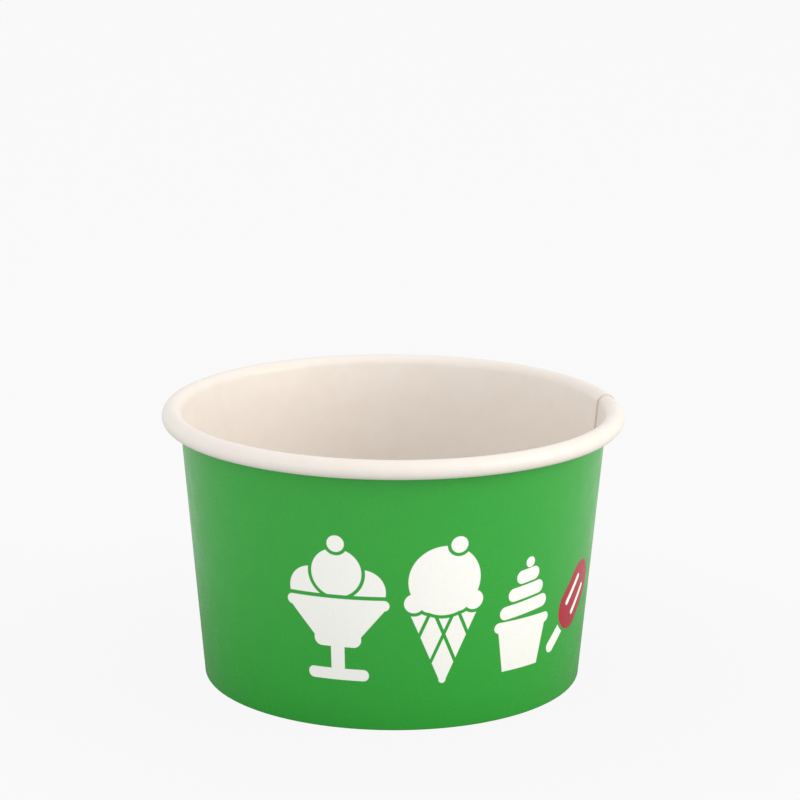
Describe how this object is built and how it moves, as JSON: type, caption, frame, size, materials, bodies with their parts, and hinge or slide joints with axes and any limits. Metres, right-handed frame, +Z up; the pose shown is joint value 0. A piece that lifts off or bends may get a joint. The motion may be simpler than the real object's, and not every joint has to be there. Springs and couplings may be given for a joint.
{
  "type": "paper dessert cup",
  "caption": "Short tapered paper board cup with a rolled rim, a glued side lap and a raised base in a folded foot, for dessert.",
  "frame": {"origin": "centre of the ring that the cup stands on, on the table", "axes": "+Z up along the cup's axis through the mouth; -Y is the side that the picture shows, with the printed picture; the side lap is just behind +X, 12 to 19.5 degrees from it towards +Y"},
  "size_m": [0.095, 0.095, 0.0568],
  "materials": {
    "printed_board": "gloss coated, green print outside, white inside",
    "plain_board": "coated, unprinted white"
  },
  "bodies": {
    "root": {"side_wall": "printed_board", "base": "plain_board"}
  },
  "joints": []
}
